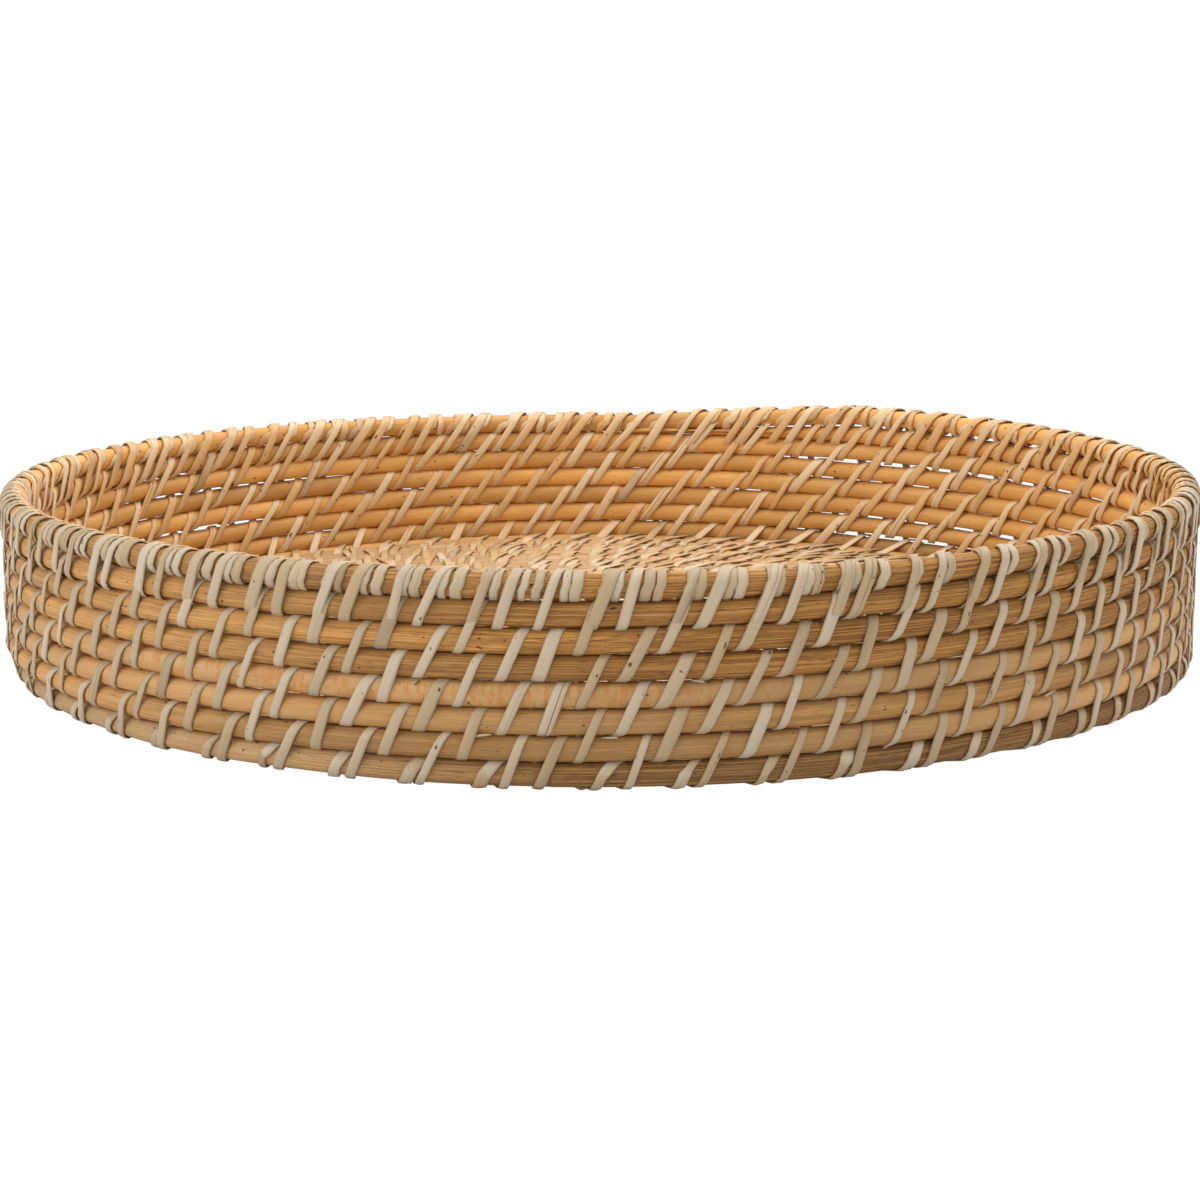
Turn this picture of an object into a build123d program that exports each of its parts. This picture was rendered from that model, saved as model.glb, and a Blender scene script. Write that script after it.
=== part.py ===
from build123d import *
import functools
import math
import os

# A round winnowing basket of coiled rattan. One core rod runs in a flat coil for the
# floor, turns up at the edge and climbs as the wall, and a hoop closes the top. Peeled
# strands lash every turn to the one beside it. Sizes are in millimetres. The origin is
# on the table at the centre of the floor, and +Z is up.

# Driving dimensions
outer_diameter = 480.0        # over the lashing of the rim
rod_diameter = 8.0            # core rod of the floor, the wall and the rim
shoulder_height = 4.0         # upright side of a wall rod
crown_width = 4.4             # top of a floor rod, which is rubbed flat underneath
strand_width = 3.4            # peeled lashing strand
strand_thickness = 0.8
seat_clearance = 0.05         # between a strand and the rod that it lies on
splice_gap = 0.1              # between two lengths of rod that meet end to end
wall_turns = 6.5              # turns of the coil in the wall, under the rim hoop
climb_start = 266.0           # degrees from +X where the coil starts up the wall
tail_runs = 3                 # straight runs over which the end of the coil is shaved thin
tip_thickness = 0.6           # thin end of the coil, under the rim
start_thickness = 4.0         # first turn of the coil, shaved down to take its tight curve
runs_per_turn = 38            # straight runs of rod between the bends of one wall turn
stitches_per_run = 1.5        # spacing of the lashing, so that no strand meets a bend
outer_lean = 23.0             # degrees that a strand leans on the outside of the wall
inner_lean = 30.0             # degrees that it leans the other way on the inside

# Worked out from the driving dimensions
rod_radius = rod_diameter / 2
lane = strand_thickness + 2 * seat_clearance    # room for a strand between two rods
pitch = rod_diameter + lane
wall_radius = outer_diameter / 2 - strand_thickness - seat_clearance - rod_radius
stitches_per_turn = round(stitches_per_run * runs_per_turn)
tail_turns = tail_runs / runs_per_turn
last_full_turn = wall_turns - tail_turns
floor_turns = math.floor(wall_radius / pitch - 0.4)
wall_lengths = math.ceil(last_full_turn)

os.makedirs("parts", exist_ok=True)


# Route of the rod

def at_angle(turns, radius, height):
    """Point at a number of turns after the place where the coil leaves the floor."""
    angle = math.radians(climb_start + 360 * turns)
    return Vector(radius * math.cos(angle), radius * math.sin(angle), height)


def swing(turns):
    """Angle by which one turn of the coil has swung round its neighbour so far."""
    return math.radians(90 * (turns - math.floor(turns)))


def floor_point(turns):
    """Middle of the rod in the floor, where turns counts up to 0 at the foot of the wall.

    Each turn swings round the next one from beside it to below it, so that the two stay
    one pitch apart all the way to the place where the coil starts to climb."""
    turns_inward = -math.floor(turns) - 1
    return at_angle(turns, wall_radius - pitch * (turns_inward + math.cos(swing(turns))), rod_radius)


def wall_height(turns):
    """Height of the middle of the rod in the wall, which rises one pitch in each turn."""
    return rod_radius + pitch * (math.floor(turns) + math.sin(swing(turns)))


def wall_point(turns):
    """Middle of the rod in the wall."""
    return at_angle(turns, wall_radius, wall_height(turns))


def turns_below_rim(turns):
    """Turns of the coil at the topmost place of the wall, at the same angle."""
    topmost = math.floor(wall_turns) + turns % 1
    return topmost if topmost < wall_turns else topmost - 1


def tail_share(turns):
    """Share of the full rod that is left in the shaved tail: 1 at its root, 0 past its tip."""
    return min(1.0, max(0.0, (wall_turns - turns) / tail_turns))


def rim_height(turns):
    """Height of the middle of the rim hoop, which comes down over the shaved tail."""
    below = turns_below_rim(turns)
    if below <= last_full_turn:
        return wall_height(below) + pitch
    return wall_height(below - 1) + pitch * (1 + tail_share(below))


def rim_point(turns):
    """Middle of the rim hoop."""
    return at_angle(turns, wall_radius, rim_height(turns))


def on_run(point, turns, runs):
    """Point on the straight run that holds this place, between its two bends.

    The bends lie half a run either side of each whole turn."""
    run = math.floor(turns * runs + 0.5)
    start = point((run - 0.5) / runs)
    end = point((run + 0.5) / runs)
    return start + (end - start) * (turns * runs + 0.5 - run)


def bends(point, first, last, runs):
    """Bends of the rod between two places, ends left out."""
    first_bend = math.floor(first * runs + 0.5)
    past_last = math.ceil(last * runs - 0.5)
    return [point((bend + 0.5) / runs) for bend in range(first_bend, past_last)]


def length_route(point, first, last, runs):
    """Ends and bends of one length of rod, half a splice gap short at each end."""
    inside = bends(point, first, last, runs)
    start = on_run(point, first, runs)
    end = on_run(point, last, runs)
    start += (inside[0] - start).normalized() * (splice_gap / 2)
    end += (inside[-1] - end).normalized() * (splice_gap / 2)
    return [start, *inside, end]


# Rod sections and solids

def wall_section():
    """Six-sided section with upright sides, as (up, outward) points about its middle."""
    shoulder = shoulder_height / 2
    return [
        (rod_radius, 0),
        (shoulder, rod_radius),
        (-shoulder, rod_radius),
        (-rod_radius, 0),
        (-shoulder, -rod_radius),
        (shoulder, -rod_radius),
    ]


def floor_section(size=rod_diameter):
    """Section with a flat underside on the table and a narrower crown."""
    crown = crown_width / 2 * size / rod_diameter
    return [
        (-rod_radius, -size / 2),
        (size - rod_radius, -crown),
        (size - rod_radius, crown),
        (-rod_radius, size / 2),
    ]


def across_rod(origin, direction, section, stretch=1.0):
    """Face of a section across the rod; stretch widens it where it is cut at a mitre."""
    plane = Plane(origin=origin, x_dir=(0, 0, 1), z_dir=direction)
    return plane * Polygon(*[(up, out * stretch) for up, out in section], align=None)


def flat_rod(route, section):
    """A rod of the floor: its section carried along level runs with mitred bends."""
    profile = across_rod(route[0], route[1] - route[0], section)
    return sweep(profile, path=Polyline(*route), transition=Transition.RIGHT)


def climbing_rod(route, section):
    """A rod of the wall: ruled from mitre to mitre, so that its sides stay upright."""
    runs = [(end - start).normalized() for start, end in zip(route, route[1:])]
    faces = [across_rod(route[0], runs[0], section)]
    for bend, run_in, run_out in zip(route[1:], runs, runs[1:]):
        stretch = 1 / math.cos(math.radians(run_in.get_angle(run_out) / 2))
        faces.append(across_rod(bend, run_in + run_out, section, stretch))
    faces.append(across_rod(route[-1], runs[-1], section))
    return loft(faces, ruled=True)


def write(name, shape):
    """Write one node and say what it holds."""
    export_step(shape, f"parts/{name}.step")
    print(name, len(shape.solids()), "solids", round(shape.volume), "mm3")


# Floor: one flat coil, made of lengths that meet end to end

def plain_radius(runs):
    """Radius down to which turns of this many runs are used.

    A straight run bulges inwards from its circle, and that bulge has to stay within the
    lane, because the next length inwards bends at other places."""
    return 0.85 * lane / (1 - math.cos(math.pi / runs))


def turns_down_to(radius):
    """Whole turns inwards from the wall to the first turn inside a radius."""
    return min(floor_turns - 2, math.ceil((wall_radius - radius) / pitch))


coarse_turns = turns_down_to(plain_radius(24))
floor_lengths = [
    # name, turns inwards at its inner end, straight runs in each turn
    ("floor_coil_foot", 1, runs_per_turn),
    ("floor_coil_outer", (1 + coarse_turns) // 2, 24),
    ("floor_coil_middle", coarse_turns, 24),
    ("floor_coil_inner", floor_turns - 1, 12),
]
outer_end = 0
for name, inner_end, runs in floor_lengths:
    route = length_route(floor_point, -inner_end, -outer_end, runs)
    write(name, flat_rod(route, floor_section()))
    outer_end = inner_end

start_route = length_route(floor_point, -floor_turns, -outer_end, runs)
write("floor_coil_start", flat_rod(start_route, floor_section(start_thickness)))


# Wall: the coil climbs one pitch in each turn, and its end is shaved to a thin tail

for number in range(wall_lengths):
    last = min(number + 1, last_full_turn)
    route = length_route(wall_point, number, last, runs_per_turn)
    write(f"wall_coil_{number + 1}", climbing_rod(route, wall_section()))


def tail_height(turns):
    """Thickness of the shaved tail, which fills the space under the rim but for its lanes."""
    return pitch * tail_share(turns) - lane


def tail_bottom(turns):
    """Height of the underside of the tail, one lane above the turn below."""
    return wall_height(turns - 1) + rod_radius + lane


def tail_point(turns):
    """Middle of the tail as it would be if it weren't shaved."""
    return at_angle(turns, wall_radius, tail_bottom(turns) + rod_radius)


tip_turn = wall_turns - tail_turns * (tip_thickness + lane) / pitch
tail_route = length_route(tail_point, last_full_turn, tip_turn, runs_per_turn)
root_top = at_angle(last_full_turn, wall_radius, tail_bottom(last_full_turn) + rod_diameter)
tip_top = at_angle(tip_turn, wall_radius, tail_bottom(tip_turn) + tip_thickness)
shaved = tip_top - root_top
shaved_plane = Plane(origin=root_top, x_dir=shaved, z_dir=shaved.cross(Vector(0, 0, 1).cross(shaved)))
unshaved = climbing_rod(tail_route, wall_section())
write("coil_tail", split(unshaved, bisect_by=shaved_plane, keep=Keep.BOTTOM))


# Rim: a hoop that lies on the topmost turn and closes on itself

half_hoops = []
for first in (0.0, 0.5):
    hoop_bends = bends(rim_point, first, first + 0.5, runs_per_turn)
    hoop_ends = [on_run(rim_point, place, runs_per_turn) for place in (first, first + 0.5)]
    half_hoops.append(climbing_rod([hoop_ends[0], *hoop_bends, hoop_ends[1]], wall_section()))
write("rim_hoop", half_hoops[0] + half_hoops[1])


# Lashing: strands that hold each turn of the wall to the turn above it

circumference = 2 * math.pi * wall_radius
strand_share = strand_width / 2 / circumference    # half a strand's width, in turns
lean_slope = math.tan(math.radians(outer_lean))
lean_share = (pitch + rod_diameter) / 2 * lean_slope / circumference


def stitch_places(first, last):
    """Places of the stitches, in turns. Neighbouring rows alternate by half a spacing."""
    places = [
        row + (number + 0.5 * (row % 2)) / stitches_per_turn
        for row in range(math.floor(first), math.ceil(last))
        for number in range(stitches_per_turn)
    ]
    return [place for place in places if first <= place < last]


def rod_height(turns):
    """Height of the middle of the wall rod on its straight run."""
    return on_run(wall_point, turns, runs_per_turn).Z


def hoop_height(turns):
    """Height of the middle of the rim hoop on its straight run."""
    return on_run(rim_point, turns, runs_per_turn).Z


def in_wall(turns, height):
    """Plane in the wall at a stitch: X runs along the rod, Y up and Z outwards."""
    middle = on_run(wall_point, turns, runs_per_turn)
    outward = at_angle(math.floor(turns * runs_per_turn + 0.5) / runs_per_turn, 1, 0)
    return Plane(
        origin=(middle.X, middle.Y, height),
        x_dir=Vector(0, 0, 1).cross(outward),
        z_dir=outward,
    )


@functools.lru_cache
def leg(length, side, lean):
    """Strand on one side of the wall: flat against the rods, with a crowned back."""
    seat = side * (rod_radius + seat_clearance)
    edge = side * strand_width / 2
    across = Polygon((-edge, seat), (edge, seat), (0, seat + side * strand_thickness), align=None)
    return Rot(0, 0, -lean) * extrude(Plane.XZ * across, length / 2, both=True)


def placed_leg(turns, bottom, top, side, lean):
    """A leg at its stitch, reaching from one height to another."""
    return in_wall(turns, (bottom + top) / 2) * leg(round(top - bottom, 2), side, lean)


def foot_stands_under(turns, height):
    """Whether the last turn of the floor reaches under a strand inside the wall."""
    half_width = rod_radius - (rod_radius - crown_width / 2) * height / rod_diameter
    return turns < 1 and pitch * math.cos(swing(turns)) - half_width < rod_radius + lane


def wall_stitch(turns):
    """Both legs of a stitch round a turn and the one above it, outside and inside."""
    bottom = rod_height(turns) - rod_radius
    if turns + 1 <= last_full_turn:
        top = rod_height(turns + 1) + rod_radius
    else:
        top = tail_bottom(turns + 1) + tail_height(turns + 1)
    inner_bottom = bottom
    if foot_stands_under(turns, bottom):
        inner_bottom = max(bottom, rod_diameter + seat_clearance)
    return [
        placed_leg(turns, bottom, top, 1, outer_lean),
        placed_leg(turns, inner_bottom, top, -1, -inner_lean),
    ]


def rim_stitch(turns):
    """Closed strand round the rim hoop and the rod, or the shaved tail, that it lies on."""
    over = [turns + lean_share + side * strand_share for side in (-1, 1)]
    under = [turns - lean_share + side * strand_share for side in (-1, 1)]
    top = max(hoop_height(place) for place in over) + rod_radius + seat_clearance
    if turns <= last_full_turn:
        bottom = min(rod_height(place) for place in under) - rod_radius - seat_clearance
    else:
        bottom = min(tail_bottom(place) for place in under) - seat_clearance
    place = in_wall(turns, (top + bottom) / 2)
    leaning = Plane(
        origin=place.origin,
        x_dir=place.z_dir,
        z_dir=place.y_dir * lean_slope - place.x_dir,
    )
    stretch = math.hypot(1, lean_slope)
    width = rod_diameter + 2 * seat_clearance
    height = top - bottom
    outline = Rectangle(width + 2 * strand_thickness, (height + 2 * strand_thickness) * stretch)
    opening = Rectangle(width, height * stretch)
    return extrude(leaning * (outline - opening), strand_width / 2, dir=place.x_dir, both=True)


for number in range(math.ceil(tip_turn - 1)):
    places = stitch_places(number, min(number + 1, tip_turn - 1))
    legs = [piece for turns in places for piece in wall_stitch(turns)]
    write(f"wall_lashing_{number + 1}", Compound(children=legs))

rim_places = stitch_places(tip_turn - 1, tip_turn)
write("rim_lashing", Compound(children=[rim_stitch(turns) for turns in rim_places]))
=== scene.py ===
# %% [markdown]
# # A coiled rattan winnowing basket
#
# The basket is one long core rod wound in a spiral. It lies flat for the floor, turns
# up at the edge and climbs as the wall, and a hoop closes the top. Peeled strands lash
# each turn to the turn beside it. Every surface here is computed from the path of
# that rod, so that rods and lashing always lie on each other.

# %%
import bpy
import math
import numpy as np
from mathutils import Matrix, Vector


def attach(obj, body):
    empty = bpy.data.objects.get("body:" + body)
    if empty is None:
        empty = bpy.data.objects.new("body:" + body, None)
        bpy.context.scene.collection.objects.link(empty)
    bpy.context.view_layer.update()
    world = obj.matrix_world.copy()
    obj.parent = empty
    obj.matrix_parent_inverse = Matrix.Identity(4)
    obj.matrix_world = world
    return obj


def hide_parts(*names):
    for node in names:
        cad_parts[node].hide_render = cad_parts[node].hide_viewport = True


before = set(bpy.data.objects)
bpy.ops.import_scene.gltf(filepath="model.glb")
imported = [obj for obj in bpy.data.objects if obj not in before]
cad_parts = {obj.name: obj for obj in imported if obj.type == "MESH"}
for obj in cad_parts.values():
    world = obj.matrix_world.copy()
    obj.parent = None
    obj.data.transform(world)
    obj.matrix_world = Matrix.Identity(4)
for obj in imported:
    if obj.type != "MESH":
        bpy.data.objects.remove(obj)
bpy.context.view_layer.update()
print("nodes in the frame:", len(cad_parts))

# %% [markdown]
# ## Dimensions
#
# Lengths are in metres. A turn of the coil is counted from the place where it leaves the
# floor: turn 0 is the foot of the wall, and negative turns lie in the floor. The pitch
# is the distance between the middles of two rods that lie next to each other.

# %%
MM = 0.001
ROD = 4.0 * MM                 # radius of the core rod
PITCH = 8.9 * MM
WALL = 235.15 * MM             # radius of the wall, to the middle of its rods
AROUND = 2 * np.pi * WALL      # length of one turn of the wall
START = math.radians(266)      # angle at which the coil leaves the floor
LAST = 6.5                     # turn at which the coil ends
TAIL = 3 / 38                  # part of a turn that is shaved thin at that end
FLOOR_TURNS = 26
STITCHES = 57                  # wraps in one turn of the wall
STRAND_WIDTH = 3.8 * MM
STRAND_THICK = 0.8 * MM
SEAT = ROD + 0.58 * MM         # from the middle of a rod to the middle of the strand on it

# %% [markdown]
# ## The path of the coil
#
# In the wall the rod keeps its radius and rises one pitch in each turn. In the floor it
# comes in by one pitch a turn. Over each turn the next rod swings by a right angle
# from beside its neighbour to on top of it, so that the two stay one pitch apart where
# the floor becomes the wall.


# %%
def swing(turn):
    """Angle in radians by which a turn has swung so far: a right angle times its fraction."""
    return np.pi / 2 * (turn - np.floor(turn))


def coil_radius(turn):
    """Distance of the rod's middle from the axis."""
    inward = -np.floor(turn) - 1
    return np.where(turn < 0, WALL - PITCH * (inward + np.cos(swing(turn))), WALL)


def coil_height(turn):
    """Height of the rod's middle: the rod's radius in the floor, then one pitch more each turn."""
    return np.where(turn < 0, ROD, ROD + PITCH * (np.floor(turn) + np.sin(swing(turn))))


def coil_length(turn):
    """Length of rod from the foot of the wall, less than 0 in the floor.

    It is the sum of the circles' lengths, which shrink by a pitch a turn in the floor."""
    return 2 * np.pi * (WALL * turn + np.where(turn < 0, PITCH * turn * turn / 2, 0))


def turn_under_rim(turn):
    """Turn of the topmost coil rod below a place on the rim."""
    top = np.floor(LAST) + np.mod(turn, 1)
    return np.where(top < LAST, top, top - 1)


def rim_height(turn):
    """Height of the hoop's middle: one pitch over the topmost rod, and down the shaved tail."""
    below = turn_under_rim(turn)
    share = np.clip((LAST - below) / TAIL, 0, 1)
    on_tail = coil_height(below - 1) + PITCH * (1 + share)
    return np.where(below <= LAST - TAIL, coil_height(below) + PITCH, on_tail)


def to_space(turn, radius, height):
    """Point at a turn, a radius and a height: x is radius times cosine, y radius times sine."""
    angle = START + 2 * np.pi * turn
    x, y = radius * np.cos(angle), radius * np.sin(angle)
    return np.stack(np.broadcast_arrays(x, y, height), -1)


print("height of the rim at the foot of the wall:", float(rim_height(np.array(0.0))))

# %% [markdown]
# Rattan isn't quite even. Slow random curves, each a sum of sine waves, let the rods
# wander by a fraction of a millimetre, and the lashing follows them.

# %%
WAVES = 5
WAVE_SUM = 2.6         # the sum of the waves is divided by this, to lie between about -1 and 1
WANDER = 0.2 * MM


def wobble(x, step, seed):
    """Smooth random curve between about -1 and 1: sine waves whose lengths lie near step."""
    r = np.random.default_rng(seed)
    lengths = step * r.uniform(0.6, 2.2, WAVES)
    phases = r.uniform(0, 2 * np.pi, WAVES)
    waves = np.sin(2 * np.pi * np.asarray(x)[..., None] / lengths + phases)
    return waves.sum(-1) / WAVE_SUM


def ring_wobble(turn, seed):
    """Smooth random curve that closes after one turn: it has whole numbers of sine waves."""
    r = np.random.default_rng(seed)
    numbers = r.integers(3, 15, WAVES)
    phases = r.uniform(0, 2 * np.pi, WAVES)
    waves = np.sin(2 * np.pi * np.asarray(turn)[..., None] * numbers + phases)
    return waves.sum(-1) / WAVE_SUM


def coil_middle(turn):
    """Radius and height of the rod's middle, with the small wander that rods and lashing share."""
    length = coil_length(turn)
    radius = coil_radius(turn) + WANDER * wobble(length, 0.13, 104)
    return radius, coil_height(turn) + WANDER * wobble(length, 0.10, 102)


def hoop_middle(turn):
    """Radius and height of the middle of the rim hoop, with a wander of its own."""
    radius = WALL + 1.25 * WANDER * ring_wobble(turn, 324)
    return radius, rim_height(turn) + WANDER * ring_wobble(turn, 322)


# %% [markdown]
# ## Grids of points
#
# A rod and a strand are both a closed section carried along a path. The points form a
# grid: one row for each place on the path, one column for each corner of the section.
# Faces join each point to the next one along and the next one round, and a fan closes
# each end. The attribute "tone" carries a random shade, and "inside" is 1 on the inside
# of the basket and -1 outside. On rods "skin" tells smooth places from rubbed ones, and
# "age" dark ones. On strands "across" is 1 at the edges, and "stain" is a wrap's chance.


# %%
def grid_faces(rows, columns):
    """Corner numbers of the quads of a grid that closes on itself sideways."""
    i, j = np.meshgrid(np.arange(rows - 1), np.arange(columns), indexing="ij")
    k = (j + 1) % columns
    here, ahead = i * columns, (i + 1) * columns
    quads = np.stack([here + j, ahead + j, ahead + k, here + k], -1)
    return quads.reshape(-1, 4), i.ravel(), j.ravel()


def end_fans(rows, columns):
    """Corner numbers of the triangles that close both ends, each end round a middle point."""
    count = rows * columns
    j = np.arange(columns)
    k = (j + 1) % columns
    start_fan = np.stack([np.full(columns, count), j, k], -1)
    end_fan = np.stack([np.full(columns, count + 1), count - columns + k, count - columns + j], -1)
    return np.concatenate([start_fan, end_fan])


def corner_uv(along, around, i, j, columns):
    """UV of all corners of the faces: metres along the path, and metres round the section."""
    u = np.stack([along[i], along[i + 1], along[i + 1], along[i]], -1)
    v = np.stack([around[j], around[j], around[j + 1], around[j + 1]], -1)
    cap_u = np.repeat([along[0], along[-1]], columns * 3)
    caps = np.stack([cap_u, np.zeros_like(cap_u)], -1)
    return np.concatenate([np.stack([u.ravel(), v.ravel()], -1), caps])


def build(name, points, along, around, node_names, slot, material, **attributes):
    """Mesh object from a grid of points of the shape rows, columns, 3.

    along has a value for each row. around has one more than the columns, as the section closes."""
    rows, columns = points.shape[:2]
    quads, i, j = grid_faces(rows, columns)
    fans = end_fans(rows, columns)
    vertices = np.concatenate([points.reshape(-1, 3), points[[0, -1]].mean(1)])
    mesh = bpy.data.meshes.new(name)
    mesh.from_pydata(vertices.tolist(), [], quads.tolist() + fans.tolist())
    uv = corner_uv(along, around, i, j, columns)
    mesh.uv_layers.new(name="UVMap").data.foreach_set("uv", uv.astype(np.float32).ravel())
    for key, values in attributes.items():
        full = np.broadcast_to(values, (rows, columns)).reshape(-1)
        full = np.concatenate([full, full[:1], full[-1:]])
        data = mesh.attributes.new(key, "FLOAT", "POINT")
        data.data.foreach_set("value", full.astype(np.float32))
    mesh.polygons.foreach_set("use_smooth", np.arange(len(mesh.polygons)) < len(quads))
    mesh.materials.append(material)
    piece = bpy.data.objects.new(name, mesh)
    bpy.context.scene.collection.objects.link(piece)
    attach(piece, "root")
    if node_names:
        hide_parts(*node_names)
    return piece


# %% [markdown]
# ## Materials
#
# Three effects are node groups: fibres that run along the rod, dark pores, and blotches.
# They return numbers that each material mixes into its colour, roughness and bump.

# %%
TONE_SHIFT = 5.0       # how far a full step of tone moves the noise


def maths(tree, operation, a, b=None):
    """Maths node of one or two inputs, each a socket or a number; returns its output."""
    node = tree.nodes.new("ShaderNodeMath")
    node.operation = operation
    for index, value in enumerate([a, b]):
        if isinstance(value, (int, float)):
            node.inputs[index].default_value = value
        elif value is not None:
            tree.links.new(value, node.inputs[index])
    return node.outputs[0]


def stretched(tree, vector, tone, scale_u, scale_v):
    """The vector with its two directions scaled apart, moved by the tone so that wraps differ."""
    split = tree.nodes.new("ShaderNodeSeparateXYZ")
    join = tree.nodes.new("ShaderNodeCombineXYZ")
    tree.links.new(vector, split.inputs[0])
    tree.links.new(maths(tree, "MULTIPLY", split.outputs[0], scale_u), join.inputs[0])
    tree.links.new(maths(tree, "MULTIPLY", split.outputs[1], scale_v), join.inputs[1])
    tree.links.new(maths(tree, "MULTIPLY", tone, TONE_SHIFT), join.inputs[2])
    return join.outputs[0]


def noise(tree, vector, detail, rough):
    """Noise texture; returns its factor."""
    node = tree.nodes.new("ShaderNodeTexNoise")
    node.inputs["Scale"].default_value = 1.0
    node.inputs["Detail"].default_value = detail
    node.inputs["Roughness"].default_value = rough
    tree.links.new(vector, node.inputs["Vector"])
    return node.outputs["Fac"]


def ramp(tree, value, low_edge, high_edge):
    """0 at the low edge, 1 at the high edge, smooth between them."""
    node = tree.nodes.new("ShaderNodeMapRange")
    node.interpolation_type = "SMOOTHSTEP"
    node.inputs["From Min"].default_value = low_edge
    node.inputs["From Max"].default_value = high_edge
    tree.links.new(value, node.inputs["Value"])
    return node.outputs["Result"]


def effect_group(name, **outputs):
    """Node group each of whose outputs is a stretched noise, made steep between two edges.

    An output is written as the scale along the piece and round it, both in features a metre,
    the detail and roughness of the noise, and the low and high edge."""
    tree = bpy.data.node_groups.new(name, "ShaderNodeTree")
    tree.interface.new_socket("Vector", in_out="INPUT", socket_type="NodeSocketVector")
    tree.interface.new_socket("Tone", in_out="INPUT", socket_type="NodeSocketFloat")
    for key in outputs:
        tree.interface.new_socket(key, in_out="OUTPUT", socket_type="NodeSocketFloat")
    source = tree.nodes.new("NodeGroupInput")
    result = tree.nodes.new("NodeGroupOutput")
    for key, (scale_u, scale_v, detail, rough, low_edge, high_edge) in outputs.items():
        place = stretched(tree, source.outputs[0], source.outputs[1], scale_u, scale_v)
        grain = noise(tree, place, detail, rough)
        tree.links.new(ramp(tree, grain, low_edge, high_edge), result.inputs[key])
    return tree


fibres = effect_group("Rattan fibres",
                      Fibre=(11.0, 2600.0, 1.5, 0.5, 0.36, 0.62),
                      Streak=(9.0, 700.0, 2.0, 0.5, 0.35, 0.7))
pores = effect_group("Rattan pores",
                     Pore=(170.0, 3200.0, 1.0, 0.5, 0.62, 0.72),
                     Speck=(420.0, 620.0, 0.0, 0.5, 0.81, 0.84))
blotches = effect_group("Rattan blotches",
                        Blotch=(26.0, 90.0, 3.0, 0.5, 0.4, 0.68),
                        Flake=(600.0, 160.0, 4.0, 0.7, 0.5, 0.56))


# %%
class Shader:
    """A material being built: its tree, its Principled node and short helpers."""

    def __init__(self, name):
        self.material = bpy.data.materials.new(name)
        self.material.use_nodes = True
        self.tree = self.material.node_tree
        self.main = self.tree.nodes["Principled BSDF"]
        self.main.inputs["Specular IOR Level"].default_value = 0.3
        coords = self.tree.nodes.new("ShaderNodeUVMap")
        coords.uv_map = "UVMap"
        self.uv = coords.outputs[0]
        self.tone = self.attribute("tone")

    def attribute(self, name):
        """Number that the mesh carries under this name."""
        node = self.tree.nodes.new("ShaderNodeAttribute")
        node.attribute_name = name
        return node.outputs["Fac"]

    def effect(self, shared):
        """Outputs of a shared effect, placed by the UV and moved by the tone."""
        node = self.tree.nodes.new("ShaderNodeGroup")
        node.node_tree = shared
        self.tree.links.new(self.uv, node.inputs["Vector"])
        self.tree.links.new(self.tone, node.inputs["Tone"])
        return node.outputs

    def times(self, a, b):
        """Product of two numbers, each a socket or a number."""
        return maths(self.tree, "MULTIPLY", a, b)

    def plus(self, a, b):
        """Sum of two numbers."""
        return maths(self.tree, "ADD", a, b)

    def minus(self, a, b):
        """Difference of two numbers."""
        return maths(self.tree, "SUBTRACT", a, b)

    def mix(self, factor, a, b, kind="MIX"):
        """Mix of two colours, each a socket or three numbers."""
        node = self.tree.nodes.new("ShaderNodeMix")
        node.data_type = "RGBA"
        node.blend_type = kind
        if isinstance(factor, (int, float)):
            node.inputs[0].default_value = factor
        else:
            self.tree.links.new(factor, node.inputs[0])
        for index, value in ((6, a), (7, b)):
            if isinstance(value, tuple):
                node.inputs[index].default_value = (*value, 1.0)
            else:
                self.tree.links.new(value, node.inputs[index])
        return node.outputs[2]

    def shaded(self, colour, shade):
        """Colour times a number."""
        join = self.tree.nodes.new("ShaderNodeCombineXYZ")
        for channel in range(3):
            self.tree.links.new(shade, join.inputs[channel])
        return self.mix(1.0, colour, join.outputs[0], "MULTIPLY")

    def finish(self, colour, roughness, height, distance):
        """Link colour, roughness and bump height, which is distance deep, and give the material."""
        self.tree.links.new(colour, self.main.inputs["Base Color"])
        self.tree.links.new(roughness, self.main.inputs["Roughness"])
        bump = self.tree.nodes.new("ShaderNodeBump")
        bump.inputs["Strength"].default_value = 0.7
        bump.inputs["Distance"].default_value = distance
        self.tree.links.new(height, bump.inputs["Height"])
        self.tree.links.new(bump.outputs[0], self.main.inputs["Normal"])
        return self.material


def scaled(colour, factor):
    """Colour times a number, or times three."""
    return tuple(float(channel) for channel in np.multiply(colour, factor))


# %% [markdown]
# A core rod is rubbed brown fibre outside and has a smoother face inside, drawn warmer
# and lighter there, which is partly painted bounce light. Where "skin" says so it is pale and
# smooth, with orange flakes where skin is over 1. "age" darkens it, most of all at an open cut.

# %%
FLAKED = (0.50, 0.20, 0.05)
OLD_DARK = (0.075, 0.040, 0.016)
OLD_LIGHT = (0.21, 0.125, 0.055)
ROD_SPECK = (0.035, 0.02, 0.012)


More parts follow.
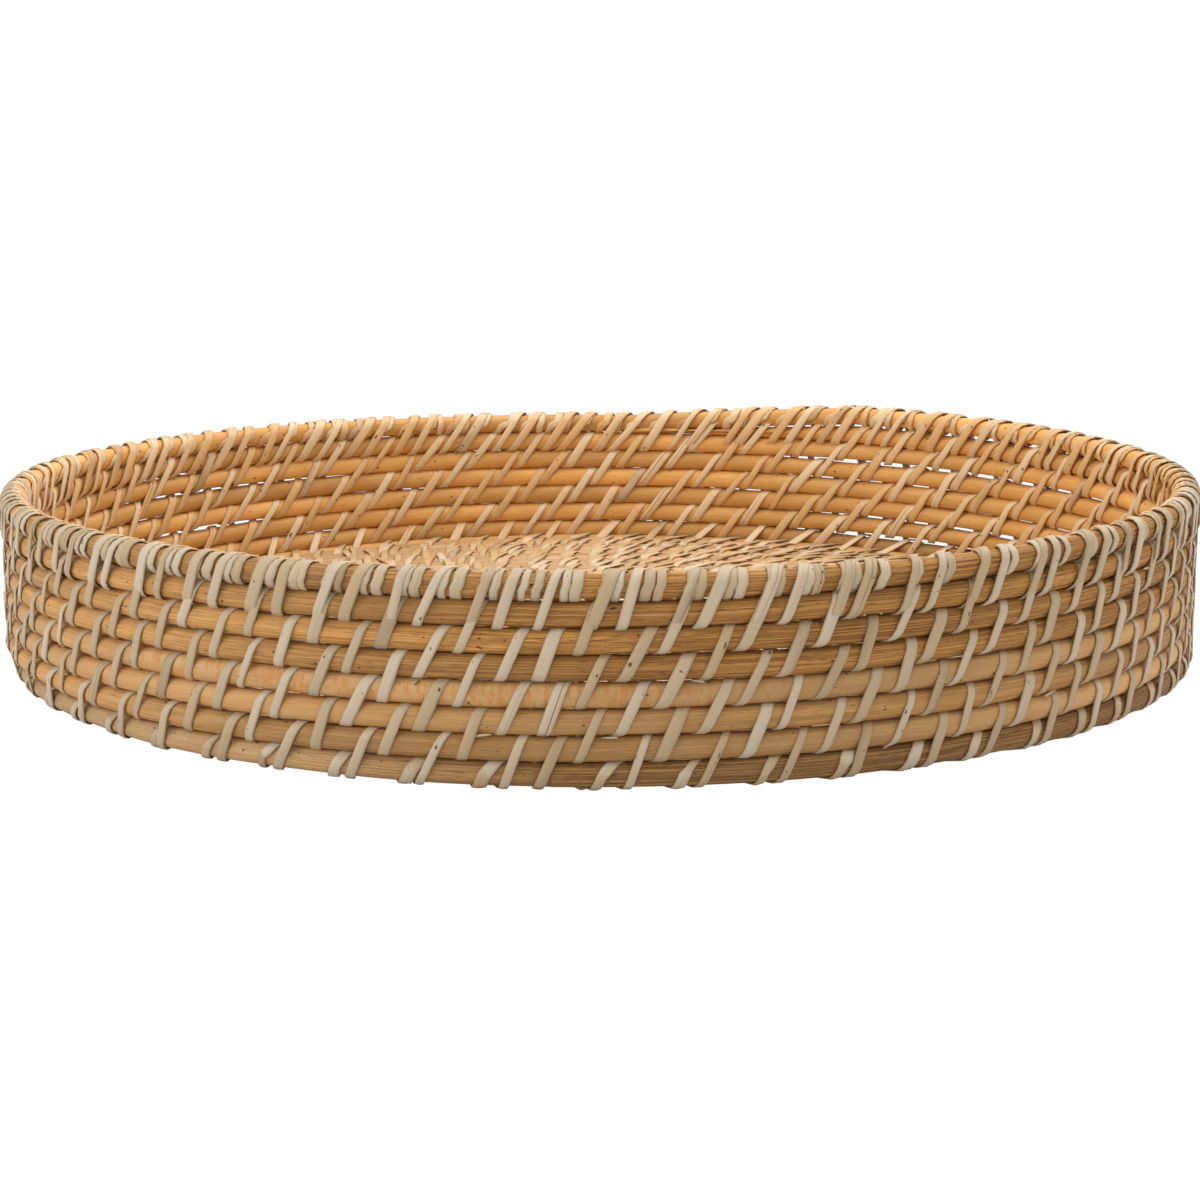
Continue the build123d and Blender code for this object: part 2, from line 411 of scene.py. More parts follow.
def rod_material(name, dark, light, smooth, inside_bounce, pore_depth):
    """Core rod: dark and light fibres outside, smooth for the skin, and the colour for the inside,
    which is partly painted warm bounce light.
    """
    s = Shader(name)
    fibre, streak = s.effect(fibres)
    pore, speck = s.effect(pores)
    blotch, flake = s.effect(blotches)
    skin = s.attribute("skin")
    inside = ramp(s.tree, s.attribute("inside"), -0.35, 0.45)

    outer = s.mix(s.times(streak, 0.45), s.mix(fibre, dark, light), light)
    pale = s.mix(s.times(blotch, 0.7), smooth, scaled(smooth, (0.86, 0.74, 0.6)))
    outer = s.mix(s.times(skin, 0.75), outer, pale)
    patch = s.times(flake, ramp(s.tree, skin, 0.98, 1.4))
    outer = s.mix(s.times(patch, 0.8), outer, FLAKED)
    # The inside colour is warmer and lighter than the outside: partly painted bounce light.
    inner = s.mix(blotch, inside_bounce, scaled(inside_bounce, (1.12, 1.22, 1.4)))
    inner = s.mix(s.times(fibre, 0.25), inner, scaled(inside_bounce, 0.72))
    colour = s.shaded(s.mix(inside, outer, inner), s.plus(s.times(s.tone, 0.42), 0.79))

    bare = s.times(s.minus(1.0, s.times(inside, 0.8)), s.minus(1.0, s.times(skin, 0.8)))
    hole = s.times(pore, s.times(bare, pore_depth))
    old = s.mix(fibre, OLD_DARK, OLD_LIGHT)
    colour = s.mix(s.times(s.attribute("age"), 0.62), colour, old)
    colour = s.mix(hole, colour, scaled(dark, 0.28))
    colour = s.mix(s.times(speck, 0.8), colour, ROD_SPECK)
    rough = s.plus(s.times(bare, 0.2), 0.45)
    height = s.minus(s.times(fibre, bare), s.times(hole, 1.2))
    return s.finish(colour, rough, height, 0.35 * MM)


wall_rod = rod_material("Wall rod", dark=(0.24, 0.093, 0.017), light=(0.51, 0.244, 0.058),
                        smooth=(0.53, 0.312, 0.125), inside_bounce=(0.71, 0.355, 0.095), pore_depth=0.6)
foot_rod = rod_material("Foot rod", dark=(0.23, 0.095, 0.020), light=(0.48, 0.24, 0.064),
                        smooth=(0.64, 0.42, 0.21), inside_bounce=(0.66, 0.35, 0.105), pore_depth=0.7)
floor_rod = rod_material("Floor rod", dark=(0.42, 0.18, 0.045), light=(0.52, 0.32, 0.16),
                         smooth=(0.54, 0.34, 0.18), inside_bounce=(0.54, 0.315, 0.14), pore_depth=0.4)

# %% [markdown]
# The strand is the glossy skin of the cane, split into ribbons. It is pale cream outside
# the basket, and inside it is drawn warmer and lighter with painted bounce light. Its edges
# are darker, some wraps carry brown stains and a few are split, with a line of painted shade
# along the split, and the "tone" of each wrap chooses between cream, straw and a slight pink.

# %%
CREAM = ((0.425, 0.315, 0.19), (0.52, 0.43, 0.31))
# Inside the basket the strand is lighter and warmer: painted bounce light.
INSIDE_BOUNCE = ((0.72, 0.44, 0.19), (0.80, 0.60, 0.37))
STRAW = (0.47, 0.31, 0.15)
# The inside edge colour is lighter too, with painted bounce light.
EDGES = ((0.30, 0.175, 0.07), (0.50, 0.25, 0.08))     # outside and inside the basket
# Colour of the painted shade in the groove of a split.
SPLIT_SHADE = (0.16, 0.08, 0.03)
STAIN = (0.27, 0.17, 0.08)
STRAND_SPECK = (0.03, 0.018, 0.01)
SPLIT_PLACE = 0.4 * MM        # of a split, from the middle of the strand


def strand_material():
    """Peeled strand, with splits where "stain" is near 0, each a groove with painted shade along
    it, and stains where it is near 1.
    """
    s = Shader("Peeled strand")
    fibre, streak = s.effect(fibres)
    speck = s.effect(pores)["Speck"]
    blotch = s.effect(blotches)["Blotch"]
    chance = s.attribute("stain")
    inside = ramp(s.tree, s.attribute("inside"), -0.3, 0.5)

    cream = s.mix(ramp(s.tree, s.tone, 0.15, 0.85), *CREAM)
    cream = s.mix(s.times(streak, 0.35), cream, STRAW)
    # Inside, the colour turns lighter and warmer: painted bounce light.
    colour = s.mix(inside, cream, s.mix(ramp(s.tree, s.tone, 0.1, 0.9), *INSIDE_BOUNCE))
    edge = ramp(s.tree, s.attribute("across"), 0.62, 1.0)
    colour = s.mix(s.times(edge, 0.4), colour, s.mix(inside, *EDGES))

    split_uv = s.tree.nodes.new("ShaderNodeSeparateXYZ")
    s.tree.links.new(s.uv, split_uv.inputs[0])
    off_line = maths(s.tree, "ABSOLUTE", s.minus(split_uv.outputs[1], SPLIT_PLACE))
    some = s.times(ramp(s.tree, chance, 0.08, 0.06), streak)
    crack = s.times(ramp(s.tree, off_line, 0.22 * MM, 0.10 * MM), some)
    # Painted shade: the dark line along a split stands in for the shade in its groove.
    colour = s.mix(s.times(crack, 0.8), colour, SPLIT_SHADE)
    stain = s.times(blotch, ramp(s.tree, chance, 0.82, 0.9))
    colour = s.mix(s.times(stain, 0.6), colour, STAIN)
    colour = s.mix(s.times(speck, 0.85), colour, STRAND_SPECK)
    rough = s.plus(s.times(streak, 0.12), 0.34)
    height = s.minus(s.times(fibre, 0.6), s.times(crack, 0.5))
    return s.finish(colour, rough, height, 0.2 * MM)


strand = strand_material()
print("materials:", [m.name for m in bpy.data.materials if m.users])

# %% [markdown]
# ## Core rods
#
# The section is a slightly squared circle: the distance to the surface is the rod's
# radius divided by (|cos|^p + |sin|^p)^(1/p), with p a little over 2. Slow random curves
# make the rod thicker and thinner. In the wall the section is stretched up and down
# until only a thin slit is left between neighbours.

# %%
SIDES = 18
ROUND = 2 * np.pi * np.arange(SIDES + 1) / SIDES
MEAN, SLOW, QUICK = 1.015, 0.014, 0.006      # thickness and its changes, as shares of ROD
SLOW_STEP, QUICK_STEP = 110 * MM, 20 * MM    # the length of those changes
FACET, FACET_STEP = 0.015, 50 * MM           # the same for the flats along a rod
TONE_STEP = 350 * MM
FLOOR_WIDER = 0.06     # by this share the rods of the floor are wider than high
CUT_AGE = 1.6          # age of the face of an open cut


def rod_section(power):
    """Outward and upward share of each corner of the section, for a radius of 1."""
    cosine, sine = np.cos(ROUND[:-1]), np.sin(ROUND[:-1])
    reach = (np.abs(cosine) ** power + np.abs(sine) ** power) ** (-1 / power)
    return reach * cosine, reach * sine


def step_up(x, middle, steepness):
    """Smooth step from 0 to 1 about a middle, or from 1 to 0 where the steepness is below 0."""
    return 1 / (1 + np.exp(-(x - middle) * steepness))


def lane_gap(turns):
    """Slit between the rod and the one a turn above: nearly closed, and open in places behind.

    It can open to 1.6 mm under two bells over x, the cosine of the place: back right and back
    left. A curve that is 0 or 1 in most places opens it there. In front it is about 0.25 mm."""
    place = START + 2 * np.pi * turns
    right = np.exp(-(((np.cos(place) - 0.66) / 0.30) ** 4))
    left = 0.85 * np.exp(-(((np.cos(place) + 0.80) / 0.12) ** 2))
    behind = np.sin(place) > 0
    some = step_up(wobble(turns, 0.23, 61), 0.1, 14)
    closed = 0.14 - 0.12 * np.sin(place) + 0.12 * wobble(turns, 0.06, 62)
    return (closed + 1.6 * (right + left) * behind * some) * MM


def dark_share(turns):
    """How dark the rod is with age: most where it turns up from the floor into the wall."""
    rise = 0.1 * step_up(turns, -0.3, 14) + 0.8 * step_up(turns, -0.03, 50)
    return rise * step_up(turns, 0.42, -14)


def rod_piece(name, turns, middle, material, slot, seed=100, size=1.0, share=1.0, skin=0.0,
              power=2.35, nodes=None, cut=0, age=1.0, gaps=None):
    """A length of rod. share below 1 shaves the top off, down to that share of its height.

    All lengths of the coil use the same random curves, so that one runs on into the next. gaps
    are the slits above and below; in the wall the section reaches up and down to them. cut is
    -1 or 1 where the first or last end is an open cut, which shows dark."""
    length = coil_length(turns)
    slow, quick = wobble(length, SLOW_STEP, seed), wobble(length, QUICK_STEP, seed + 1)
    thick = ROD * size * (MEAN + SLOW * slow + QUICK * quick)
    out, up = rod_section(power)
    above, below = gaps or (lane_gap(turns), lane_gap(turns - 1))
    top = thick + ((PITCH - above) / 2 - thick) * np.clip(turns + 1, 0, 1)
    bottom = (thick + ((PITCH - below) / 2 - thick) * np.clip(turns, 0, 1))[:, None]
    rise = np.where(up > 0, up * top[:, None], up * bottom)
    if np.ndim(share):
        rise = np.where(up > 0, (rise + bottom) * share[:, None] - bottom, rise)
    facet = 1 + FACET * wobble(length[:, None] + ROUND[:-1] * 20 * MM, FACET_STEP, seed + 3)
    radius, height = middle(turns)
    in_floor = np.clip(-turns, 0, 1)[:, None]
    r = radius[:, None] + thick[:, None] * out * facet * (1 + FLOOR_WIDER * in_floor)
    points = to_space(turns[:, None], r, height[:, None] + rise * facet)
    tone = np.clip(0.5 + 0.5 * wobble(length, TONE_STEP, seed + 5)[:, None], 0, 1)
    inside = -out * (1 - in_floor) + up * in_floor
    old = age * dark_share(turns)[:, None] * np.ones(SIDES)
    if cut:
        old[0 if cut < 0 else -1] = CUT_AGE
    return build(name, points, length, ROUND * ROD, nodes or [name], slot, material,
                 tone=tone, inside=inside, skin=(skin * np.ones(len(turns)))[:, None], age=old)


# %% [markdown]
# The wall is cut into lengths at whole turns. Their ends run into each other unseen, but
# for one open joint at the front right. All distances along the rod are in turns here. A
# ring of points close to each end keeps the shading even across a joint.

# %%
OPEN_JOINT = 6.104
JOINT_GAP = 0.0006
OVERLAP = 0.00003
END_RING = 0.0001
RINGS = 170            # in one turn
FLAKED_TURN = 2.945    # here the skin is over 1, and flakes off


def left_lit_share(turns):
    """How far to the left of the basket a place is, 0 to 1: there the rods are paler, which partly
    paints the light that falls from the left.
    """
    return step_up(np.cos(START + 2 * np.pi * turns), -0.3, -8)


def skin_share(turns):
    """How much smooth pale skin the wall rod has: most on turns 1 to 3, and on the left, where the
    paler skin partly paints the light that falls from there.
    """
    band = step_up(turns, 0.85, 12) * step_up(turns, 3.35, -10)
    flaked = 0.8 * np.exp(-(((turns - FLAKED_TURN) / 0.06) ** 2))
    smooth = band * (0.75 + 0.35 * wobble(turns, 0.5, 90)) + flaked
    return smooth + 0.5 * left_lit_share(turns) * (1 - np.clip(smooth, 0, 1))


JOINTS = [0, 1, 2, 3, 4, 5, 6, OPEN_JOINT, LAST - TAIL, LAST]
NAMES = [f"wall_coil_{n}" for n in range(1, 8)] + ["wall_coil_7_end", "coil_tail"]
for name, first, last in zip(NAMES, JOINTS, JOINTS[1:]):
    start = first + (JOINT_GAP if first == OPEN_JOINT else -OVERLAP)
    count = int(RINGS * (last - first)) + 16
    rings = np.linspace(start + END_RING, last - END_RING, count)
    turns = np.concatenate([[start], rings, [last]])
    share = np.clip((LAST - turns) / TAIL, 0.08, 1) if name == "coil_tail" else 1.0
    cut = {"wall_coil_7": 1, "wall_coil_7_end": -1}.get(name, 0)
    rod_piece(name, turns, coil_middle, wall_rod, "wall_rod", skin=skin_share(turns),
              share=share, nodes=[name.replace("_end", "")], cut=cut)

turns = np.linspace(0, 1, 200)
over_hoop = np.full(len(turns), PITCH - 2.03 * ROD)
# On the left the hoop gets pale skin, which partly paints the light that falls from there.
rod_piece("rim_hoop", turns, hoop_middle, wall_rod, "wall_rod", 320, power=2.6, age=0.0,
          skin=0.4 * left_lit_share(turns), gaps=(over_hoop, lane_gap(turn_under_rim(turns))))

# %% [markdown]
# The floor is the same coil on the table. Its places are spaced by length, so that the
# small inner turns have as fine a curve as the wide outer ones. The first turn at the
# centre is shaved thin.

# %%
FLOOR_PARTS = [("floor_coil_foot", -1, 0), ("floor_coil_outer", -9, -1),
               ("floor_coil_middle", -17, -9), ("floor_coil_inner", 1 - FLOOR_TURNS, -17),
               ("floor_coil_start", -FLOOR_TURNS, 1 - FLOOR_TURNS)]
FLOOR_RING = 7 * MM
FLOOR_GAP = 0.0001     # between two lengths, in turns
FLOOR_SIZE = 0.98
START_SIZE = 0.62


def places_by_length(first, last, step):
    """Turns between first and last, step apart along the rod and at least 20 to a turn."""
    fine = np.linspace(first, last, 4000)
    speed = np.maximum(2 * np.pi * coil_radius(fine) / step, 20)
    ways = (speed[1:] + speed[:-1]) / 2 * np.diff(fine)
    count = np.concatenate([[0], np.cumsum(ways)])
    return np.interp(np.linspace(0, count[-1], int(count[-1]) + 2), count, fine)


for name, first, last in FLOOR_PARTS:
    turns = places_by_length(first, last - FLOOR_GAP, FLOOR_RING)
    size = FLOOR_SIZE
    if name == "floor_coil_start":
        size = np.linspace(START_SIZE, FLOOR_SIZE, len(turns))
    if name == "floor_coil_foot":
        # On the left the foot rod gets pale skin, which partly paints the light that falls from
        # there.
        rod_piece(name, turns, coil_middle, foot_rod, "foot_rod", size=size,
                  skin=0.95 * left_lit_share(turns))
    else:
        rod_piece(name, turns, coil_middle, floor_rod, "floor_rod", size=size)

# %% [markdown]
# ## Lashing
#
# A strand goes round two neighbouring rods as a helix. Seen along the rods, its path is a
# stadium: half a circle round the upper rod, a straight leg, half a circle round the
# lower rod and a straight leg back. The table WRAP lists the places of one wrap: how far
# from the lower rod (0) to the upper rod (1), the angle from straight out, whether it is
# on the outer half (0) or the inner half (1), and the share of that half's way round.

# %%
HALF_WAY = np.pi * SEAT + PITCH


def share_of_way(angle, passed_leg):
    """Way round one half: the angle turned times the seat radius, plus the leg once passed."""
    return (math.radians(angle) * SEAT + passed_leg * PITCH) / HALF_WAY


OUTER = [(1, 90 - turned, 0, share_of_way(turned, 0)) for turned in (0, 26, 52, 78)]
OUTER += [(0.5, 0, 0, 0.5)]
OUTER += [(0, 90 - turned, 0, share_of_way(turned, 1)) for turned in (102, 128, 154)]
INNER = [(1 - which, angle - 180, 1, share) for which, angle, half, share in OUTER]
WRAP = np.array(OUTER + INNER)

# %% [markdown]
# The section of a strand is a thin ribbon with a domed face. Its eight corners go
# anticlockwise from the right edge.

# %%
ACROSS = np.array([0.5, 0.46, 0.2, -0.2, -0.46, -0.5, -0.3, 0.3])      # in widths
UP = np.array([-0.15, 0.28, 0.5, 0.5, 0.28, -0.15, -0.5, -0.5])        # in thicknesses
RIBBON_V = np.array([-0.5, -0.45, -0.2, 0.2, 0.45, 0.5, 0.3, -0.3, -0.5])
EDGE_SHARE = np.array([1, 0.95, 0.4, 0.4, 0.95, 1, 0.6, 0.6])          # how near the edge


def unit(vectors):
    """Vectors scaled to length 1."""
    return vectors / np.maximum(np.linalg.norm(vectors, axis=-1, keepdims=True), 1e-12)


def ribbon_points(centres, outward, width, thick):
    """Ribbon along a path: across is forward cross outward, and up is across cross forward."""
    forward = unit(np.gradient(centres, axis=0))
    across = unit(np.cross(forward, outward))
    up = np.cross(across, forward)
    a, u = ACROSS * width[:, None], UP * thick
    return centres[:, None] + across[:, None] * a[..., None] + up[:, None] * u[:, None]


# %% [markdown]
# The path of a strand follows from the table and from the middles of its two rods. The
# unit vector from the lower rod to the upper one is (dr, dz), outwards and upwards. The
# angles of the table are measured from its normal (dz, -dr). Where both rods are the same
# one, as for the short wraps of the rim, the vector points straight up.

# %%
CENTRE = 20 * MM       # near the centre, lengths are turned into turns as on this radius
LEG_DIP = 0.1 * MM     # a straight leg lies this much closer to the rods


def wrap_path(places, lower, upper, outer, seat=SEAT):
    """Path of a strand: centres, outward directions, wrap number, outward and upward shares.

    places are turns in the order in which the strand gets there, each the middle of an outer
    half. lower and upper give the radius and height of the two rods at a turn. outer is the
    length along the rod that each outer half takes; the inner half takes the rest of the way."""
    count = len(places)
    near = np.maximum(coil_radius(places), CENTRE)
    step = -np.diff(places) * 2 * np.pi * near[1:]
    inner = np.append(step, np.median(step)) - (outer + np.append(outer[1:], outer[-1])) / 2
    which, angle, half, share = [np.tile(column, (count, 1)) for column in WRAP.T]
    on_outer = outer[:, None] * (share - 0.5)
    on_inner = outer[:, None] * 0.5 + inner[:, None] * share
    shift = np.where(half == 0, on_outer, on_inner)
    turn = places[:, None] - shift / (2 * np.pi * near[:, None])
    (r0, z0), (r1, z1) = lower(turn), upper(turn)
    gap = np.hypot(r1 - r0, z1 - z0)
    apart = gap > 0.001 * MM
    dr = np.where(apart, (r1 - r0) / np.where(apart, gap, 1), 0)
    dz = np.where(apart, (z1 - z0) / np.where(apart, gap, 1), 1)
    cosine, sine = np.cos(np.radians(angle)), np.sin(np.radians(angle))
    out_r, out_z = cosine * dz + sine * dr, -cosine * dr + sine * dz
    reach = np.where(which == 0.5, seat - LEG_DIP, seat)
    radius = r0 + (r1 - r0) * which + out_r * reach
    height = z0 + (z1 - z0) * which + out_z * reach
    centres = to_space(turn, radius, height).reshape(-1, 3)
    turning = START + 2 * np.pi * turn
    outward = np.stack([out_r * np.cos(turning), out_r * np.sin(turning), out_z], -1)
    wrap = np.repeat(np.arange(count), len(WRAP))
    return centres, outward.reshape(-1, 3), wrap, out_r.reshape(-1), out_z.reshape(-1)


# %% [markdown]
# Each strand is one piece. An open strand starts on an inner half and stops after an
# outer half, so that its ends lie in a lane. A ring comes back to its first wrap.

# %%
WIDTH_SPREAD = 0.16    # random change in width from wrap to wrap, as a share


def lash(name, places, lower, upper, outer, nodes, seed, seat=SEAT, width=STRAND_WIDTH,
         ring=False, flat=False):
    """A whole strand, with its own width, shade and stain in each wrap.

    flat tells a strand in the floor, where the inside of the basket is upwards."""
    r = np.random.default_rng(seed)
    if ring:
        places, outer = np.append(places, places[0] - 1), np.append(outer, outer[0])
        used = slice(0, 2 - len(WRAP))
    else:
        places = np.append(2 * places[0] - places[1], places)
        outer = np.append(outer[0], outer)
        used = slice(len(OUTER), -len(INNER))
    path = wrap_path(places, lower, upper, outer, seat)
    centres, outward, wrap, out_r, out_z = [part[used] for part in path]
    spread = WIDTH_SPREAD * r.normal(size=len(places) + 1).clip(-1.6, 1.4)
    wide = (width * (1 + spread))[wrap]
    points = ribbon_points(centres, outward, wide, STRAND_THICK)
    ways = np.linalg.norm(np.diff(centres, axis=0), axis=1)
    length = np.concatenate([[0], np.cumsum(ways)])
    tone = r.random(len(places))[wrap][:, None]
    stain = r.random(len(places))[wrap][:, None]
    inside = (0.15 * out_z if flat else -out_r)[:, None]
    return build(name, points, length, RIBBON_V * width, nodes, "strand", strand,
                 tone=tone, inside=inside, stain=stain, across=EDGE_SHARE)


def coil(offset):
    """Radius and height of the coil rod that many turns away."""
    return lambda turn: coil_middle(turn + offset)


# %% [markdown]
# In the wall the wraps of neighbouring rows alternate by half a spacing. Each is shifted
# by a millimetre or so, as handwork has it. The two lowest rows hold the foot.

# %%
OUTER_WAY = 9.4 * MM
SHIFT = 0.9 * MM       # random shift of a wrap along the rod
LEAN = 1.3 * MM        # random change of the way that its outer half takes
FOOT_SEAT = SEAT + 0.15 * MM

for row in range(-2, 6):
    places = row + (np.arange(STITCHES) + 0.5 * (row % 2)) / STITCHES
    places = places[places + 1 < LAST - 0.02][::-1]
    r = np.random.default_rng(700 + row)
    jitter = r.normal(size=(2, len(places))).clip(-1.8, 1.8)
    places = places + jitter[0] * SHIFT / AROUND
    outer = OUTER_WAY + LEAN * jitter[1]
    if row < 0:
        lash(f"foot_lashing_{-row}", places, coil(0), coil(1), outer, [], 800 + row,
             seat=FOOT_SEAT)
    else:
        name = f"wall_lashing_{row + 1}"
        lash(name, places, coil(0), coil(1), outer, [name], 800 + row)

# %% [markdown]
# The rim is bound by two kinds of wraps. Long ones reach over the topmost coil rod, in
# two strands that take turns. Between two long ones, one or two short ones go round the
# hoop alone. Where a long wrap would meet the wrap of the row below, it moves aside.

# %%
RIM_PLACES = 2 * STITCHES
MEETING, FREE = 3.0 * MM, -0.8 * MM        # shift of a long wrap with and without one below it
RIM_WAY, RIM_LEAN = 8.6 * MM, 1.5 * MM
LONG_SEAT = SEAT + 0.7 * MM                # over the strands below
LONG_WIDTH = 3.9 * MM


def top_rod(turn):
    """Radius and height of the topmost coil rod, which the hoop meets where the tail ends."""
    below = turn_under_rim(turn)
    share = np.clip((LAST - below) / TAIL, 0, 1)
    radius, height = coil_middle(below)
    return radius, np.where(share < 1, coil_height(below - 1) + PITCH * share, height)


numbers = np.arange(RIM_PLACES)[::-1]
long_places = numbers / RIM_PLACES
r = np.random.default_rng(31)
long_jitter = r.normal(size=(2, RIM_PLACES)).clip(-1.7, 1.7)
level = np.floor(turn_under_rim(long_places)).astype(int)
meets = (numbers % 2) == ((level - 1) % 2)
long_places = long_places + np.where(meets, MEETING, FREE) / AROUND
for half, nodes in enumerate([["rim_lashing"], []]):
    jitter = long_jitter[:, half::2]
    places = long_places[half::2] + SHIFT * jitter[0] / AROUND
    outer = RIM_WAY + RIM_LEAN * jitter[1]
    lash(f"rim_lashing_{half + 1}", places, top_rod, hoop_middle, outer, nodes, 900 + half,
         seat=LONG_SEAT, width=LONG_WIDTH, ring=True)

# %% [markdown]
# Two places for short wraps lie between two long ones. In front, round turn 0.97, both are
# used. Elsewhere most of the second ones are left out at random.

# %%
SHORT_PLACES = np.array([0.36, 0.66])      # in spacings of the long wraps
FULL_MIDDLE, FULL_REACH = 0.97, 0.10       # where no short wrap is left out, in turns
LEFT_OUT = 0.62
SHORT_WAY = 2.5 * MM
SHORT_SHIFT = 0.45 * MM
SHORT_SEAT = SEAT + 0.3 * MM
SHORT_WIDTH = 3.6 * MM

short = (np.arange(RIM_PLACES)[:, None] + SHORT_PLACES) / RIM_PLACES
r = np.random.default_rng(33)
elsewhere = np.abs(np.mod(short[:, 1] - FULL_MIDDLE + 0.5, 1) - 0.5) > FULL_REACH
keep = np.ones(short.shape, dtype=bool)
keep[:, 1] = ~(elsewhere & (r.random(RIM_PLACES) < LEFT_OUT))
short = short[keep][::-1]
short = short + r.normal(size=len(short)).clip(-1.6, 1.6) * SHORT_SHIFT / AROUND
step = np.abs(np.append(np.diff(short), short[-1] - short[-2])) * AROUND
outer = np.minimum(0.5 * step, SHORT_WAY)
lash("rim_binding", short, hoop_middle, hoop_middle, outer, [], 950,
     seat=SHORT_SEAT, width=SHORT_WIDTH, ring=True)

# %% [markdown]
# The floor is lashed in the same way, with a wrap about every 15 mm. On top of the floor
# the strand leans well over to one side.

# %%
FLOOR_STEP = 15 * MM
FLOOR_UNEVEN = 0.16    # slow change of the step, as a share of it
FLOOR_SHIFT = 0.17     # random shift of a wrap, as a share of the step
FLOOR_WAY = 0.3        # what its outer half takes, as a share of the step
FLOOR_WIDTH = 3.7 * MM
FEWEST = 5             # wraps in a turn, near the centre

fine = np.linspace(-24.9, -1.0, 40000)
around = 2 * np.pi * coil_radius(fine)
uneven = 1 + FLOOR_UNEVEN * wobble(around * fine, 0.23, 42)
gap = np.minimum(FLOOR_STEP * uneven, around / FEWEST)
count = np.concatenate([[0], np.cumsum(around[:-1] / gap[:-1] * np.diff(fine))])
floor_places = np.interp(np.arange(int(count[-1])), count, fine)[::-1]
room = np.interp(floor_places, fine, gap)
r = np.random.default_rng(41)
shift = r.normal(size=len(floor_places)).clip(-1.7, 1.7) * FLOOR_SHIFT * room
near = np.maximum(coil_radius(floor_places), CENTRE)
floor_places = floor_places + shift / (2 * np.pi * near)
half_way = len(floor_places) // 2
for half, part in enumerate([slice(0, half_way), slice(half_way, None)]):
    lash(f"floor_lashing_{half + 1}", floor_places[part], coil(-1), coil(0),
         FLOOR_WAY * room[part], [], 960 + half, width=FLOOR_WIDTH, flat=True)

# %% [markdown]
# ## Loose ends
#
# Where a strand runs out, its end is tucked into the lane between two rods and a few
# millimetres stand out. Each is a short ribbon that leaves the lane and bends away: the
# distance from the wall grows with the square of the way along it.

# %%
LOOSE_ENDS = 12
LANE_RADIUS = WALL + 3.6 * MM      # where an end comes out of its lane


def loose_end(index, turn, height, lean, length, curl, width):
    """Ribbon that starts in a lane at a turn and a height.

    lean is its slope along the wall, and curl how far its end stands out."""
    way = np.linspace(0, 1, 9)
    along = turn - lean * length * way / AROUND
    radius = LANE_RADIUS + 1.0 * MM * np.sqrt(way) + curl * way ** 2
    centres = to_space(along, radius, height + (1 - abs(lean)) * length * (way - 0.1))
    place = START + 2 * np.pi * along
    outward = np.stack([np.cos(place), np.sin(place), 0.3 + 0 * place], -1)
    wide = width * np.interp(way, [0, 0.6, 1], [1, 0.85, 0.25])
    points = ribbon_points(centres, outward, wide, 0.4 * MM)
    around = (np.arange(9) - 3.5) * width / 8
    r = np.random.default_rng(index)
    return build(f"loose_end_{index}", points, way * length, around, [], "strand", strand,
                 tone=r.random(), inside=-1.0, stain=r.random(), across=0.3)


# Most ends are in front: at the start of a turn, right, or at its end, left.
STRETCHES = [(0.0, 0.22), (0.74, 1.0), (0.22, 0.74)]
CHANCES = [0.42, 0.42, 0.16]

r = np.random.default_rng(77)
for index in range(LOOSE_ENDS):
    row = int(r.integers(1, 6))
    turn = row + r.choice([r.uniform(*stretch) for stretch in STRETCHES], p=CHANCES)
    side = r.choice([-1, 1])
    height = float(coil_height(turn)) + side * PITCH / 2
    lean = side * r.uniform(0.5, 0.95) * r.choice([-1, 1])
    length, curl, width = [r.uniform(*limits) * MM for limits in ((5, 12), (0.1, 1.2), (0.4, 1.1))]
    loose_end(index + 1, turn, height, lean, length, curl, width)

# %% [markdown]
# ## Studio
#
# A white room without shadows behind the basket, as in the photo: the backdrop is fully
# white only for rays from the camera. A soft even light falls from above, with a weaker
# lamp from the front left and one from behind.

# %%
AMBIENT = 0.78         # strength of the room's light; the camera sees it at 1
PAPER_TOP = -1.6 * MM  # under the strands that pass below the foot
PAPER_HALF = 6.0


def area(name, place, target, size, power):
    """Square area light at a place, turned towards a target."""
    light = bpy.data.lights.new(name, "AREA")
    light.size = size
    light.energy = power
    lamp = bpy.data.objects.new(name, light)
    lamp.location = place
    lamp.rotation_euler = (Vector(target) - Vector(place)).to_track_quat("-Z", "Y").to_euler()
    bpy.context.scene.collection.objects.link(lamp)
    return lamp


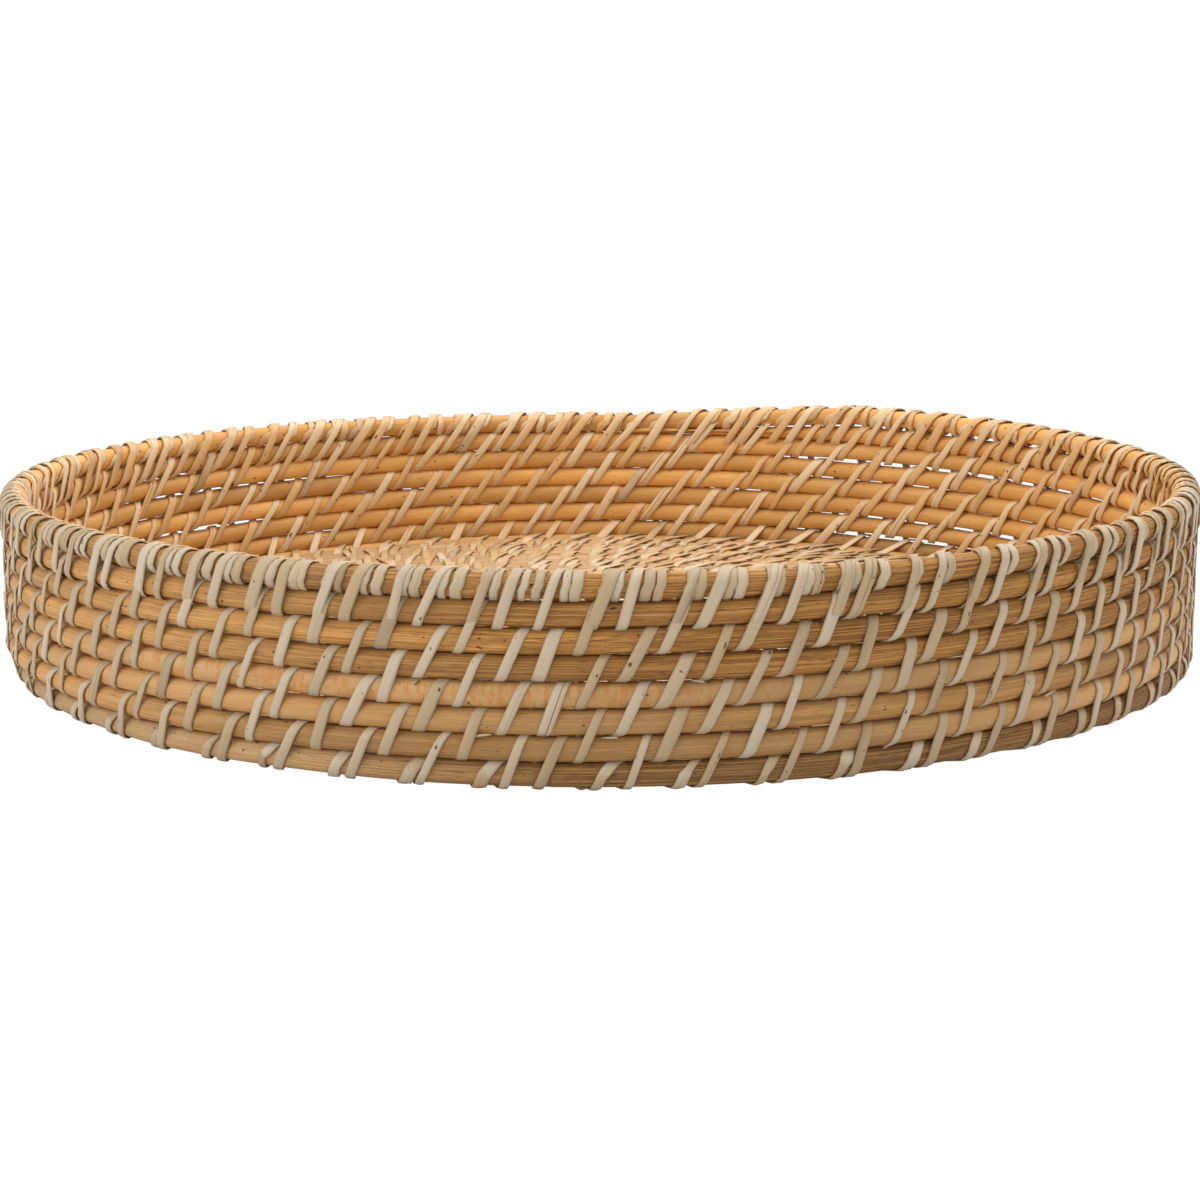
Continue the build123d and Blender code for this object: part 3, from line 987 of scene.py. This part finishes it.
world = bpy.data.worlds.new("Studio")
bpy.context.scene.world = world
world.use_nodes = True
tree = world.node_tree
background = tree.nodes["Background"]
path = tree.nodes.new("ShaderNodeLightPath")
seen = maths(tree, "MAXIMUM", path.outputs["Is Camera Ray"], path.outputs["Is Transmission Ray"])
level = maths(tree, "ADD", maths(tree, "MULTIPLY", seen, 1 - AMBIENT), AMBIENT)
tree.links.new(level, background.inputs["Strength"])
background.inputs["Color"].default_value = (1, 1, 1, 1)

# %% [markdown]
# The paper is a plain matt surface for light that bounces, and white where the camera
# sees it.

# %%
paper = bpy.data.materials.new("Paper")
paper.use_nodes = True
tree = paper.node_tree
base = tree.nodes["Principled BSDF"]
base.inputs["Base Color"].default_value = (0.80, 0.80, 0.80, 1)
base.inputs["Roughness"].default_value = 0.9
white = tree.nodes.new("ShaderNodeEmission")
white.inputs["Strength"].default_value = 1.0
path = tree.nodes.new("ShaderNodeLightPath")
mix = tree.nodes.new("ShaderNodeMixShader")
tree.links.new(path.outputs["Is Camera Ray"], mix.inputs[0])
tree.links.new(base.outputs[0], mix.inputs[1])
tree.links.new(white.outputs[0], mix.inputs[2])
tree.links.new(mix.outputs[0], tree.nodes["Material Output"].inputs["Surface"])

corners = [(x * PAPER_HALF, y * PAPER_HALF, PAPER_TOP)
           for x, y in ((-1, -1), (1, -1), (1, 1), (-1, 1))]
mesh = bpy.data.meshes.new("floor")
mesh.from_pydata(corners, [], [(0, 1, 2, 3)])
mesh.materials.append(paper)
table = bpy.data.objects.new("studio_floor", mesh)
bpy.context.scene.collection.objects.link(table)

lights = [area("key", (-1.6, -0.7, 0.75), (0, 0, 0.03), 1.2, 11),
          area("top", (0.15, -0.1, 1.9), (0, 0, 0.03), 1.7, 23),
          area("back", (0.9, 0.9, 1.2), (-0.2, 0, 0.05), 1.0, 8)]

# %% [markdown]
# ## Camera
#
# The camera stands straight in front of the basket, about two basket widths from its
# middle and 14 cm above the rim, and looks down by almost eleven degrees.

# %%
lens = bpy.data.cameras.new("camera")
lens.sensor_width = 36
lens.lens = 76.60
camera = bpy.data.objects.new("camera", lens)
camera.location = (-0.0040, -1.0401, 0.2134)
camera.rotation_euler = (math.radians(79.349), math.radians(-0.085), math.radians(-0.212))
bpy.context.scene.collection.objects.link(camera)
bpy.context.scene.camera = camera

bpy.context.scene.view_settings.view_transform = "Standard"
